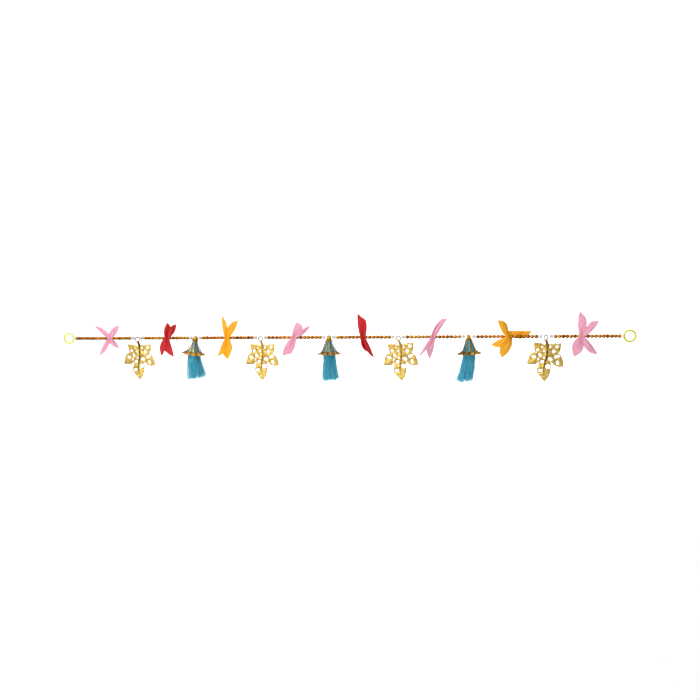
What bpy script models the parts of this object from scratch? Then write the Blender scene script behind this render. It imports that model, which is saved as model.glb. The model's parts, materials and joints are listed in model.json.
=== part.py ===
"""Toran door hanging: a taut strand of gold beads with leaf and bell pendants, ribbon bows and end rings.

Metres, +Z up. X runs along the strand, Y into the picture, and the origin is the middle of the strand.
Sizes in the tables are millimetres.
"""
import math
import random
from collections import namedtuple

import bmesh
import bpy
from mathutils import Matrix, Vector

MM = 0.001
GAP = 0.3

# The strand
RING_CENTRE_X = 447.0
RING_OUTER_DIAMETER = 19.5
RING_WIRE = 3.0
TIE_WIRE = 1.0
THREAD_DIAMETER = 1.2
GOLD_BEAD_DIAMETER = 6.2
GOLD_BEAD_LENGTH = 5.6
GOLD_BEAD_FLAT = 2.6
BEAD_NECK = 2.2
CLEAR_BEAD_DIAMETER = 6.0
CLEAR_BEAD_LENGTH = 5.6
CLEAR_BEAD_END = 0.45
CLEAR_BEAD_FLAT = 0.42
PENDANT_TO_CLEAR = 8.0
CLEAR_TO_GOLD = 6.1
KNOT_ROOM = 1.5
RING_TO_GOLD = 14.6
BEAD_SIDES = 6
CLEAR_SIDES = 8
RING_STEPS = 24
TIE_STEPS = 10
LOOP_STEPS = 12
WIRE_SIDES = 6

# The leaf, measured from the strand's axis, X to the right and Z up
LEAF_THICKNESS = 1.4
LEAF_LOOP_RADIUS = 3.7
LEAF_LOOP_WIRE = 1.8
LEAF_LOOP_TURN = 35.0
LEAF_OUTLINE = [
    (1.0, -11.6), (-2.9, -12.4), (-5.9, -9.9), (-10.8, -9.6), (-17.4, -9.0), (-18.1, -13.7),
    (-16.9, -18.7), (-15.7, -22.5), (-22.3, -26.3), (-24.8, -30.1), (-26.1, -36.0), (-28.4, -40.7),
    (-25.4, -42.4), (-18.1, -43.3), (-14.4, -42.4), (-9.3, -39.2), (-11.4, -43.9), (-13.2, -48.4),
    (-13.3, -54.7), (-10.8, -56.6), (-6.5, -63.5), (-1.4, -68.5), (1.3, -64.7), (3.1, -63.2),
    (6.8, -55.3), (7.1, -50.2), (8.6, -47.1), (6.8, -38.3), (11.6, -43.3), (17.6, -45.8),
    (19.7, -47.1), (26.7, -45.5), (26.1, -38.9), (24.3, -32.6), (21.8, -28.2), (17.6, -25.8),
    (21.2, -22.5), (22.7, -13.7), (21.5, -9.9), (17.6, -11.8), (14.6, -10.2), (8.6, -11.5), (4.4, -12.1),
]
Hole = namedtuple("Hole", "x z width height tilt")
LEAF_HOLES = [
    Hole(3.2, -46.0, 7.6, 7.0, 30), Hole(-8.2, -51.8, 6.4, 4.6, 0), Hole(16.1, -30.8, 8.4, 4.4, 20),
    Hole(17.0, -40.0, 4.2, 7.2, 0), Hole(6.6, -34.8, 6.8, 5.2, -20), Hole(-5.4, -38.4, 5.6, 4.4, 40),
    Hole(-8.7, -27.9, 4.4, 5.6, 15), Hole(-17.8, -30.6, 6.4, 4.4, -20), Hole(11.5, -22.8, 5.0, 5.2, 0),
    Hole(-12.0, -20.2, 4.6, 4.2, 0), Hole(16.2, -15.6, 4.4, 4.8, 0),
]
HOLE_SIDES = 5
RIB_PROUD = 0.25
RibPoint = namedtuple("RibPoint", "x z radius")
LEAF_RIB = [
    RibPoint(0.0, -5.6, 1.9), RibPoint(1.3, -9.0, 2.2), RibPoint(2.4, -13.0, 2.1),
    RibPoint(2.2, -21.0, 1.8), RibPoint(1.6, -31.0, 1.4), RibPoint(-1.4, -41.0, 1.3),
    RibPoint(-2.8, -52.0, 1.2), RibPoint(-1.7, -64.5, 1.0),
]

# The bell, measured from the strand's axis: outer radius and height down its side
BELL_WALL = 0.9
BELL_COLUMNS = 20
BELL_SLOT_WIDENING = 2.6
BELL_LOOP_OUTER = 4.7
BELL_LOOP_INNER = 2.2
BELL_LOOP_WIDTH = 4.6
BELL_LOOP_EDGE = 0.55
BellRow = namedtuple("BellRow", "radius z slotted_below")
BELL_SIDE = [
    BellRow(0.0, -2.4, False), BellRow(5.0, -4.6, False), BellRow(5.5, -5.9, True), BellRow(8.9, -14.4, True),
    BellRow(12.2, -22.0, False), BellRow(14.6, -24.2, False), BellRow(18.9, -26.0, False),
]

# The tassel under the bell: a head packed into the cap and strands that hang from it
TASSEL_HEAD_TOP_RADIUS = 4.2
TASSEL_HEAD_TOP_Z = -8.6
TASSEL_ROOT_RADIUS = 9.2
TASSEL_ROOT_Z = -19.6
TASSEL_GRID = 6
TASSEL_STEPS = 2
STRAND_PARTING = 0.28
STRAND_TAPER = 0.86
STRAND_BEND = 1.5
STRAND_DRIFT = 1.6
CUT_SHORTER = 2.4
CUT_LONGER = 1.6

# Ribbon bows: waist section from left to right edge, X across and Y into the picture
RIBBON_THICKNESS = 1.0
WaistPoint = namedtuple("WaistPoint", "x y")
PINCHED_WAIST = [
    WaistPoint(-3.8, -4.7), WaistPoint(-2.9, -5.5), WaistPoint(-2.0, -5.2), WaistPoint(-1.0, -4.0),
    WaistPoint(0.0, -2.7),
    WaistPoint(1.0, -4.0), WaistPoint(2.0, -5.2), WaistPoint(2.9, -5.5), WaistPoint(3.8, -4.7),
]
PIERCED_WAIST = [
    WaistPoint(-4.8, -4.8), WaistPoint(-3.4, -5.0), WaistPoint(-1.9, -4.6), WaistPoint(-0.6, -2.8),
    WaistPoint(0.0, 0.0),
    WaistPoint(0.6, 2.8), WaistPoint(1.9, 4.6), WaistPoint(3.4, 5.0), WaistPoint(4.8, 4.8),
]
WING_ROWS = (0.16, 0.4, 0.7, 1.0)
RIPPLE = 1.3
SPINE_RISE = 0.6

# One row for each half of a bow: its two swallow-tail tips and the notch between them, from the knot,
# how far its left and right edges bow outward, and how full the left and right lobes stand beside the notch
Wing = namedtuple("Wing", "left notch right left_bow right_bow left_full right_full")
Bow = namedtuple("Bow", "colour pierced upper lower")
BOWS = [
    Bow("pink", False,
        Wing((-24.6, -4.0, 20.3), (-0.5, -6.0, 8.2), (18.6, -11.0, 22.6), 2.5, 3.5, 0.10, 0.10),
        Wing((-15.1, -10.0, -25.5), (0.2, -7.0, -7.6), (13.2, -1.0, -15.3), 2.5, 1.5, 0.10, 0.10)),
    Bow("red", False,
        Wing((3.2, -13.0, 26.1), (4.5, -6.0, 14.0), (13.5, 5.0, 22.4), 5.0, 4.5, 0.12, 0.12),
        Wing((-11.6, 3.0, -27.5), (-4.4, -4.0, -20.5), (12.6, -11.0, -28.9), 11.5, 1.0, 0.04, 0.04)),
    Bow("orange", False,
        Wing((-3.4, -9.0, 34.7), (2.4, -7.0, 17.0), (18.0, -2.0, 28.3), 4.5, 4.0, 0.10, 0.10),
        Wing((-17.4, 5.0, -30.5), (-5.8, -4.0, -26.0), (2.5, -13.0, -32.1), 2.5, 10.0, 0.02, 0.02)),
    Bow("pink", False,
        Wing((7.3, -14.0, 25.6), (13.8, -9.0, 14.6), (25.0, -4.0, 18.2), 3.5, 5.0, 0.12, 0.12),
        Wing((-20.2, 6.0, -30.0), (-12.0, -3.0, -24.2), (-5.5, -12.0, -20.0), 3.0, 4.0, 0.05, 0.05)),
    Bow("red", False,
        Wing((-9.2, 5.0, 36.3), (-2.4, -4.0, 32.1), (5.1, -12.0, 27.5), 4.0, 2.5, 0.10, 0.10),
        Wing((2.7, -13.0, -18.0), (6.5, -6.0, -20.8), (13.8, 4.0, -30.2), 4.5, 1.0, 0.06, 0.06)),
    Bow("pink", False,
        Wing((14.3, 4.0, 27.0), (16.6, -3.0, 26.0), (20.8, -9.0, 29.7), 5.0, -2.0, 0.03, 0.03),
        Wing((-20.8, -13.0, -28.0), (-10.2, -6.0, -18.8), (-6.0, 5.0, -33.7), 1.0, 3.5, 0.05, 0.05)),
    Bow("orange", True,
        Wing((-15.2, -10.0, 25.8), (-1.1, 7.0, 8.3), (31.4, 8.5, 7.0), 4.0, 14.0, 0.10, 0.0),
        Wing((-24.6, -9.0, -11.2), (-13.7, -8.0, -15.4), (-10.3, -2.0, -30.3), 3.0, 8.5, 0.10, 0.10)),
    Bow("pink", False,
        Wing((-1.6, -3.0, 35.8), (6.0, -7.0, 13.6), (20.2, -12.0, 22.0), 4.5, 5.0, 0.18, 0.18),
        Wing((-11.6, -12.0, -28.8), (3.4, -6.0, -14.2), (20.5, 1.0, -27.3), 9.5, 3.0, 0.16, 0.16)),
]

# Pendants from left to right, with the angle each leans in the picture's plane, right side down
Pendant = namedtuple("Pendant", "kind x lean")
PENDANTS = [
    Pendant("leaf", -325.4, -2.0), Pendant("bell", -225.7, 9.5), Pendant("leaf", -116.7, -2.5),
    Pendant("bell", -5.4, 0.0), Pendant("leaf", 104.1, -5.5), Pendant("bell", 211.7, -2.5),
    Pendant("leaf", 326.6, 0.0),
]
# Gold beads left and right of the bow, in each stretch from end to end
Stretch = namedtuple("Stretch", "left_beads right_beads")
STRETCHES = [
    Stretch(11, 6), Stretch(7, 6), Stretch(7, 7), Stretch(7, 7), Stretch(7, 7), Stretch(7, 7), Stretch(8, 7),
    Stretch(7, 10),
]
# Tassels from left to right: how far the tips hang to the right of the roots, how much wider than the roots
# they spread, and how much longer the strands grow for each millimetre to the right
Tassel = namedtuple("Tassel", "length sway spread slant seed")
TASSELS = [
    Tassel(45.0, 11.0, 0.60, -0.50, 11), Tassel(47.5, 0.5, 0.35, -0.10, 12),
    Tassel(48.0, -9.0, 0.22, 0.0, 13),
]

Finish = namedtuple("Finish", "colour roughness metallic")
FINISHES = {
    "gold_bead": Finish((0.68, 0.29, 0.03), 0.22, 0.85),
    "clear_bead": Finish((0.86, 0.88, 0.90), 0.06, 0.0),
    "leaf_gold": Finish((0.77, 0.50, 0.10), 0.30, 1.0),
    "bell_gold": Finish((0.69, 0.39, 0.06), 0.30, 1.0),
    "turquoise": Finish((0.02, 0.36, 0.50), 0.70, 0.0),
    "pink": Finish((0.82, 0.36, 0.50), 0.60, 0.0),
    "red": Finish((0.55, 0.01, 0.02), 0.45, 0.0),
    "orange": Finish((0.91, 0.38, 0.01), 0.45, 0.0),
    "lime": Finish((0.75, 0.82, 0.05), 0.25, 0.0),
    "thread": Finish((0.85, 0.85, 0.83), 0.50, 0.0),
}


def clear_scene():
    for obj in list(bpy.data.objects):
        bpy.data.objects.remove(obj)


def new_collection(name):
    collection = bpy.data.collections.new(name)
    bpy.context.scene.collection.children.link(collection)
    return collection


def make_material(name, finish):
    material = bpy.data.materials.new(name)
    material.use_nodes = True
    shader = material.node_tree.nodes["Principled BSDF"]
    shader.inputs["Base Color"].default_value = (*finish.colour, 1.0)
    shader.inputs["Roughness"].default_value = finish.roughness
    shader.inputs["Metallic"].default_value = finish.metallic
    return material


def add_object(name, data, collection, parent=None):
    obj = bpy.data.objects.new(name, data)
    collection.objects.link(obj)
    obj.parent = parent
    return obj


def add_piece(name, mesh, finish_name, location=(0.0, 0.0, 0.0), parent=None):
    """Adds one sub-part, with a material of its own, at a place in millimetres."""
    piece = add_object(name, mesh, PARTS, parent)
    piece.location = Vector(location) * MM
    if not mesh.materials:
        mesh.materials.append(None)
    piece.material_slots[0].link = "OBJECT"
    piece.material_slots[0].material = make_material(name, FINISHES[finish_name])
    return piece


def evaluated_mesh(obj, name):
    bpy.context.view_layer.update()
    depsgraph = bpy.context.evaluated_depsgraph_get()
    mesh = bpy.data.meshes.new_from_object(obj.evaluated_get(depsgraph))
    mesh.name = name
    return mesh


def bake(obj, name):
    """The object's evaluated mesh, closed at its seams; the object itself goes."""
    mesh = evaluated_mesh(obj, name)
    bpy.data.objects.remove(obj)
    bm = bmesh.new()
    bm.from_mesh(mesh)
    bmesh.ops.remove_doubles(bm, verts=bm.verts, dist=0.01 * MM)
    bmesh.ops.recalc_face_normals(bm, faces=bm.faces)
    bm.to_mesh(mesh)
    bm.free()
    return mesh


def profile_mesh(name, points):
    """A chain of edges through (radius, height) points, from top to bottom."""
    mesh = bpy.data.meshes.new(name)
    verts = [(radius * MM, 0.0, height * MM) for radius, height in points]
    edges = [(index, index + 1) for index in range(len(points) - 1)]
    mesh.from_pydata(verts, edges, [])
    return mesh


def turn_profile(obj, steps):
    screw = obj.modifiers.new("Turned", "SCREW")
    screw.steps = steps
    screw.render_steps = steps
    screw.use_merge_vertices = True
    screw.merge_threshold = 0.01 * MM
    screw.use_smooth_shade = True
    return screw


def turned_mesh(name, points, steps):
    former = add_object(name + "_profile", profile_mesh(name + "_profile", points), CUTTERS)
    turn_profile(former, steps)
    return bake(former, name)


def lay_along_x(mesh):
    """Turns a mesh made about Z so that its top points along X."""
    mesh.transform(Matrix.Rotation(math.radians(90.0), 4, "Y"))
    return mesh


def add_union(target, form):
    union = target.modifiers.new("Join " + form.name, "BOOLEAN")
    union.operation = "UNION"
    union.solver = "EXACT"
    union.object = form
    form.hide_render = True
    form.display_type = "WIRE"


def gold_run_profile(count, pitch, left_stub, right_stub):
    """Bead after bead, from the first bead's centre at 0; the heights grow to the right."""
    half = GOLD_BEAD_LENGTH / 2
    flat = GOLD_BEAD_FLAT / 2
    radius = GOLD_BEAD_DIAMETER / 2
    neck = BEAD_NECK / 2
    thread = THREAD_DIAMETER / 2
    points = [(0.0, -half - left_stub)]
    if left_stub:
        points.append((thread, -half - left_stub))
        points.append((thread, -half))
    points.append((neck, -half))
    for index in range(count):
        centre = index * pitch
        points.append((radius, centre - flat))
        points.append((radius, centre + flat))
        if index < count - 1:
            points.append((neck, centre + pitch / 2))
    last = (count - 1) * pitch
    points.append((neck, last + half))
    if right_stub:
        points.append((thread, last + half))
        points.append((thread, last + half + right_stub))
    points.append((0.0, last + half + right_stub))
    points.reverse()
    return points


def make_gold_run(number, first_x, count, pitch, left_stub, right_stub):
    name = f"gold_run_{number:02d}"
    profile = profile_mesh(name, gold_run_profile(count, pitch, left_stub, right_stub))
    run = add_piece(name, profile, "gold_bead", (first_x, 0.0, 0.0))
    run.rotation_euler.y = math.radians(90.0)
    turn_profile(run, BEAD_SIDES)


def make_strand():
    """Threads the gold beads, and returns the place of each bow's knot."""
    knots = []
    anchors = [-RING_CENTRE_X] + [pendant.x for pendant in PENDANTS] + [RING_CENTRE_X]
    for index, stretch in enumerate(STRETCHES):
        left_room = RING_TO_GOLD if index == 0 else PENDANT_TO_CLEAR + CLEAR_TO_GOLD
        right_room = RING_TO_GOLD if index == len(STRETCHES) - 1 else PENDANT_TO_CLEAR + CLEAR_TO_GOLD
        first = anchors[index] + left_room
        last = anchors[index + 1] - right_room
        steps = stretch.left_beads + stretch.right_beads - 1
        pitch = (last - first - KNOT_ROOM) / steps
        knot = first + (stretch.left_beads - 0.5) * pitch + KNOT_ROOM / 2
        knots.append(knot)
        room = (pitch + KNOT_ROOM - GOLD_BEAD_LENGTH) / 2
        ribbon = RIBBON_THICKNESS / 2 + GAP if BOWS[index].pierced else GAP / 2
        stub = room - ribbon
        right_first = last - (stretch.right_beads - 1) * pitch
        make_gold_run(2 * index + 1, first, stretch.left_beads, pitch, 0.0, stub)
        make_gold_run(2 * index + 2, right_first, stretch.right_beads, pitch, stub, 0.0)
    return knots


def make_clear_beads():
    half = CLEAR_BEAD_LENGTH / 2
    radius = CLEAR_BEAD_DIAMETER / 2
    end_radius = CLEAR_BEAD_END * radius
    flat = CLEAR_BEAD_FLAT * half
    profile = [
        (0.0, half), (end_radius, half), (radius, flat), (radius, -flat), (end_radius, -half), (0.0, -half),
    ]
    mesh = lay_along_x(turned_mesh("clear_bead", profile, CLEAR_SIDES))
    places = [pendant.x + side * PENDANT_TO_CLEAR for pendant in PENDANTS for side in (-1, 1)]
    for number, x in enumerate(places, start=1):
        add_piece(f"clear_bead_{number:02d}", mesh, "clear_bead", (x, 0.0, 0.0))


def make_threads():
    """The bare thread between the two clear beads of each pendant."""
    length = 2 * (PENDANT_TO_CLEAR - CLEAR_BEAD_LENGTH / 2 - GAP)
    for number, pendant in enumerate(PENDANTS, start=1):
        bpy.ops.mesh.primitive_cylinder_add(vertices=WIRE_SIDES, radius=THREAD_DIAMETER / 2 * MM,
                                            depth=length * MM)
        former = bpy.context.object
        mesh = lay_along_x(former.data)
        bpy.data.objects.remove(former)
        add_piece(f"thread_{number}", mesh, "thread", (pendant.x, 0.0, 0.0))


def torus_mesh(radius, wire_radius, around, across, turn):
    bpy.ops.mesh.primitive_torus_add(major_radius=radius * MM, minor_radius=wire_radius * MM,
                                     major_segments=around, minor_segments=across)
    former = bpy.context.object
    mesh = former.data
    mesh.transform(turn)
    bpy.data.objects.remove(former)
    return mesh


def make_end_rings():
    """The end rings stand in the strand's plane, and a loop of thread goes round each ring's wire."""
    upright = Matrix.Rotation(math.radians(90.0), 4, "X")
    ring_radius = (RING_OUTER_DIAMETER - RING_WIRE) / 2
    tie_radius = (RING_WIRE + TIE_WIRE) / 2 + GAP
    for name, side in (("left", -1), ("right", 1)):
        ring = torus_mesh(ring_radius, RING_WIRE / 2, RING_STEPS, WIRE_SIDES, upright)
        add_piece(f"ring_{name}", ring, "lime", (side * RING_CENTRE_X, 0.0, 0.0))
        tie = torus_mesh(tie_radius, TIE_WIRE / 2, TIE_STEPS, WIRE_SIDES, Matrix.Identity(4))
        add_piece(f"tie_{name}", tie, "thread", (side * (RING_CENTRE_X - ring_radius), 0.0, 0.0))


def ellipse(hole):
    tilt = math.radians(hole.tilt)
    points = []
    for index in range(HOLE_SIDES):
        angle = 2 * math.pi * index / HOLE_SIDES
        across = hole.width / 2 * math.cos(angle)
        up = hole.height / 2 * math.sin(angle)
        points.append((hole.x + across * math.cos(tilt) - up * math.sin(tilt),
                       hole.z + across * math.sin(tilt) + up * math.cos(tilt)))
    return points


def add_closed_line(curve, points):
    spline = curve.splines.new("POLY")
    spline.points.add(len(points) - 1)
    for point, (x, z) in zip(spline.points, points):
        point.co = (x * MM, z * MM, 0.0, 1.0)
    spline.use_cyclic_u = True


def leaf_blade():
    curve = bpy.data.curves.new("leaf_blade", "CURVE")
    curve.dimensions = "2D"
    curve.fill_mode = "BOTH"
    curve.extrude = LEAF_THICKNESS / 2 * MM
    add_closed_line(curve, LEAF_OUTLINE)
    for hole in LEAF_HOLES:
        add_closed_line(curve, ellipse(hole))
    former = add_object("leaf_blade", curve, CUTTERS)
    mesh = bake(former, "leaf")
    mesh.transform(Matrix.Rotation(math.radians(90.0), 4, "X"))
    return mesh


def leaf_rib():
    """Stem and midrib, a tapering rod that stands a little proud of the blade's face."""
    curve = bpy.data.curves.new("leaf_rib", "CURVE")
    curve.dimensions = "3D"
    curve.bevel_depth = MM
    curve.bevel_resolution = 0
    curve.use_fill_caps = True
    spline = curve.splines.new("POLY")
    spline.points.add(len(LEAF_RIB) - 1)
    for point, row in zip(spline.points, LEAF_RIB):
        point.co = (row.x * MM, -RIB_PROUD * MM, row.z * MM, 1.0)
        point.radius = row.radius
    former = add_object("leaf_rib", curve, CUTTERS)
    return bake(former, "leaf_rib")


def make_leaf_mesh():
    leaf = add_object("leaf_form", leaf_blade(), CUTTERS)
    rib = add_object("leaf_rib_form", leaf_rib(), CUTTERS)
    turn = Matrix.Rotation(math.radians(LEAF_LOOP_TURN), 4, "Z") @ Matrix.Rotation(math.radians(90.0), 4, "X")
    hang = LEAF_LOOP_RADIUS - LEAF_LOOP_WIRE / 2 - THREAD_DIAMETER / 2 - GAP
    place = Matrix.Translation((0.0, 0.0, -hang * MM)) @ turn
    loop_mesh = torus_mesh(LEAF_LOOP_RADIUS, LEAF_LOOP_WIRE / 2, LOOP_STEPS, WIRE_SIDES, place)
    loop = add_object("leaf_loop_form", loop_mesh, CUTTERS)
    add_union(leaf, rib)
    add_union(leaf, loop)
    mesh = evaluated_mesh(leaf, "leaf")
    for form in (leaf, rib, loop):
        bpy.data.objects.remove(form)
    return mesh


def bell_shell():
    """The cap's turned side, with slots left open between bars that are narrower than the slots."""
    mesh = turned_mesh("bell_shell", [(row.radius, row.z) for row in BELL_SIDE], BELL_COLUMNS)
    slot_spans = [(lower.z * MM, upper.z * MM) for upper, lower in zip(BELL_SIDE, BELL_SIDE[1:])
                  if upper.slotted_below]
    bm = bmesh.new()
    bm.from_mesh(mesh)
    open_faces = []
    for face in bm.faces:
        centre = face.calc_center_median()
        column = math.floor(math.atan2(centre.y, centre.x) / (2 * math.pi / BELL_COLUMNS))
        in_slot = any(low < centre.z < high for low, high in slot_spans)
        if in_slot and column % 2 == 0:
            open_faces.append(face)
    slot_foot = min(low for low, high in slot_spans)
    slot_head = max(high for low, high in slot_spans)
    column_angle = 2 * math.pi / BELL_COLUMNS
    for vert in bm.verts:
        if slot_foot - GAP * MM < vert.co.z < slot_head + GAP * MM:
            side = round(math.atan2(vert.co.y, vert.co.x) / column_angle)
            shift = math.radians(BELL_SLOT_WIDENING) * (1 if side % 2 else -1)
            vert.co = Matrix.Rotation(shift, 4, "Z") @ vert.co
    bmesh.ops.delete(bm, geom=open_faces, context="FACES")
    bm.to_mesh(mesh)
    bm.free()
    return mesh


def bell_loop():
    half = BELL_LOOP_WIDTH / 2
    inner = BELL_LOOP_INNER
    outer = BELL_LOOP_OUTER
    middle = (inner + outer) / 2
    edge = BELL_LOOP_EDGE * half
    profile = [
        (inner, edge), (middle, half), (outer, edge), (outer, -edge), (middle, -half), (inner, -edge),
        (inner, edge),
    ]
    mesh = lay_along_x(turned_mesh("bell_loop", profile, LOOP_STEPS))
    hang = BELL_LOOP_INNER - THREAD_DIAMETER / 2 - GAP
    mesh.transform(Matrix.Translation((0.0, 0.0, -hang * MM)))
    return mesh


def make_bell_mesh():
    bell = add_object("bell_form", bell_shell(), CUTTERS)
    wall = bell.modifiers.new("Wall", "SOLIDIFY")
    wall.thickness = BELL_WALL * MM
    wall.offset = -1.0
    wall.use_even_offset = True
    loop = add_object("bell_loop_form", bell_loop(), CUTTERS)
    add_union(bell, loop)
    mesh = evaluated_mesh(bell, "bell")
    for form in (bell, loop):
        bpy.data.objects.remove(form)
    return mesh


def to_disc(across, deep):
    """Carries a point of the square from -1 to 1 onto the unit disc."""
    return (across * math.sqrt(1 - deep * deep / 2), deep * math.sqrt(1 - across * across / 2))


def tassel_head(bm):
    """A tapering plug whose foot is parted into one cell for each strand; returns those cells."""
    bmesh.ops.create_grid(bm, x_segments=TASSEL_GRID, y_segments=TASSEL_GRID, size=1.0)
    for vert in bm.verts:
        across, deep = to_disc(vert.co.x, vert.co.y)
        vert.co = Vector((across * TASSEL_ROOT_RADIUS, deep * TASSEL_ROOT_RADIUS, TASSEL_ROOT_Z)) * MM
    cells = list(bm.faces)
    rim = [edge for edge in bm.edges if edge.is_boundary]
    raised = bmesh.ops.extrude_edge_only(bm, edges=rim)["geom"]
    shrink = TASSEL_HEAD_TOP_RADIUS / TASSEL_ROOT_RADIUS
    for vert in raised:
        if isinstance(vert, bmesh.types.BMVert):
            vert.co.x *= shrink
            vert.co.y *= shrink
            vert.co.z = TASSEL_HEAD_TOP_Z * MM
    top_edges = [edge for edge in raised if isinstance(edge, bmesh.types.BMEdge)]
    bmesh.ops.edgeloop_fill(bm, edges=top_edges)
    return cells


def strand_centre(root, along, tassel, length, drift):
    """A strand's centre, a share of the way from its root to its tip, in metres."""
    bend = along ** STRAND_BEND
    x = root.x * (1 + tassel.spread * bend) + tassel.sway * MM * bend + drift.x * bend
    y = root.y * (1 + tassel.spread * bend) + drift.y * bend
    return Vector((x, y, root.z - length * along))


def make_tassel_mesh(name, tassel):
    picks = random.Random(tassel.seed)
    bm = bmesh.new()
    cells = tassel_head(bm)
    bmesh.ops.inset_individual(bm, faces=cells, thickness=STRAND_PARTING * MM, use_even_offset=True)
    for cell in cells:
        root = cell.calc_center_median()
        drift = Vector((picks.uniform(-1.0, 1.0), picks.uniform(-1.0, 1.0), 0.0)) * STRAND_DRIFT * MM
        length = tassel.length * MM + tassel.slant * root.x + picks.uniform(-CUT_SHORTER, CUT_LONGER) * MM
        last_centre = root
        face = cell
        for step in range(1, TASSEL_STEPS + 1):
            centre = strand_centre(root, step / TASSEL_STEPS, tassel, length, drift)
            face = bmesh.ops.extrude_discrete_faces(bm, faces=[face])["faces"][0]
            for vert in face.verts:
                vert.co = centre + (vert.co - last_centre) * STRAND_TAPER
            last_centre = centre
    bmesh.ops.recalc_face_normals(bm, faces=bm.faces)
    mesh = bpy.data.meshes.new(name)
    bm.to_mesh(mesh)
    bm.free()
    return mesh


def make_pendants():
    """Each pendant hangs from an empty on the strand's axis, which it swings about."""
    leaf_mesh = make_leaf_mesh()
    bell_mesh = make_bell_mesh()
    count = {"leaf": 0, "bell": 0}
    for pendant in PENDANTS:
        count[pendant.kind] += 1
        number = count[pendant.kind]
        pivot = add_object(f"pivot_{pendant.kind}_{number}", None, PARTS)
        pivot.location = (pendant.x * MM, 0.0, 0.0)
        lean = math.radians(pendant.lean)
        if pendant.kind == "leaf":
            add_piece(f"leaf_{number}", leaf_mesh, "leaf_gold", parent=pivot).rotation_euler.y = lean
        else:
            add_piece(f"bell_{number}", bell_mesh, "bell_gold", parent=pivot).rotation_euler.y = lean
            tassel_mesh = make_tassel_mesh(f"tassel_{number}", TASSELS[number - 1])
            add_piece(f"tassel_{number}", tassel_mesh, "turquoise", parent=pivot).rotation_euler.y = lean


def edge_line(start, end, bow_out, side):
    """Start, middle and end of one ribbon edge; side is -1 on the left as the wing points up."""
    chord = end - start
    across = Vector((chord.z, 0.0, -chord.x)).normalized()
    return start, (start + end) / 2 + across * bow_out * side, end


def along_line(line, share):
    start, middle, end = line
    return start * (1 - share) ** 2 + middle * 2 * share * (1 - share) + end * share ** 2


def lobe_swell(notch, tip, fullness, side):
    """How far the cut edge from notch to tip stands out at its middle."""
    chord = tip - notch
    return Vector((-chord.z, 0.0, chord.x)) * fullness * side


def wing_rows(wing, waist, facing):
    """Rows of points from beside the waist to the swallow tail; facing is 1 for the upper half."""
    centre = len(waist) // 2
    left = edge_line(waist[0], Vector(wing.left), wing.left_bow * facing, -1)
    notch = Vector(wing.notch)
    fold = waist[centre]
    spine = (fold, Vector((fold.x, (fold.y + notch.y) / 2, SPINE_RISE * notch.z)), notch)
    swell_left = lobe_swell(notch, Vector(wing.left), wing.left_full * facing, -1)
    swell_right = lobe_swell(notch, Vector(wing.right), wing.right_full * facing, 1)
    right = edge_line(waist[-1], Vector(wing.right), wing.right_bow * facing, 1)
    rows = []
    for share in WING_ROWS:
        row = []
        for index, rest in enumerate(waist):
            place = index / centre
            edge, swell = (left, swell_left) if index <= centre else (right, swell_right)
            reach = abs(1 - place)
            point = along_line(spine, share).lerp(along_line(edge, share), reach)
            lobe = swell * share ** 2 * math.sin(math.pi * reach)
            pleat = rest - fold.lerp(edge[0], reach)
            ripple = RIPPLE * math.sin(math.pi * share) * math.cos(2 * math.pi * place)
            row.append(point + lobe + pleat * (1 - share) ** 2 + Vector((0.0, ripple, 0.0)))
        rows.append(row)
    return rows


def make_bow_mesh(name, bow):
    section = PIERCED_WAIST if bow.pierced else PINCHED_WAIST
    waist = [Vector((point.x, point.y, 0.0)) for point in section]
    rows = list(reversed(wing_rows(bow.upper, waist, 1))) + [waist] + wing_rows(bow.lower, waist, -1)
    width = len(waist)
    verts = [point * MM for row in rows for point in row]
    faces = []
    for row in range(len(rows) - 1):
        for column in range(width - 1):
            corner = row * width + column
            faces.append((corner, corner + width, corner + width + 1, corner + 1))
    mesh = bpy.data.meshes.new(name)
    mesh.from_pydata(verts, [], faces)
    return mesh


def make_bows(knots):
    for number, (bow, knot) in enumerate(zip(BOWS, knots), start=1):
        name = f"bow_{number}"
        piece = add_piece(name, make_bow_mesh(name, bow), bow.colour, (knot, 0.0, 0.0))
        thickness = piece.modifiers.new("Ribbon thickness", "SOLIDIFY")
        thickness.thickness = RIBBON_THICKNESS * MM
        thickness.offset = 0.0


clear_scene()
PARTS = new_collection("toran_door_hanging")
CUTTERS = new_collection("cutters")
make_end_rings()
make_clear_beads()
make_threads()
make_bows(make_strand())
make_pendants()
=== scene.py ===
"""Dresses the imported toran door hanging: rings, beads, thread, leaves, bells, tassels and ribbon bows.

The row frame is in metres; tables are in millimetres. X runs along the strand, Y into the picture, Z up.
"""
import json
import math
import random
from collections import namedtuple

import bmesh
import bpy
import numpy as np
from bpy.props import FloatProperty, IntProperty, PointerProperty
from mathutils import Matrix, Vector, geometry, noise


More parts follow.
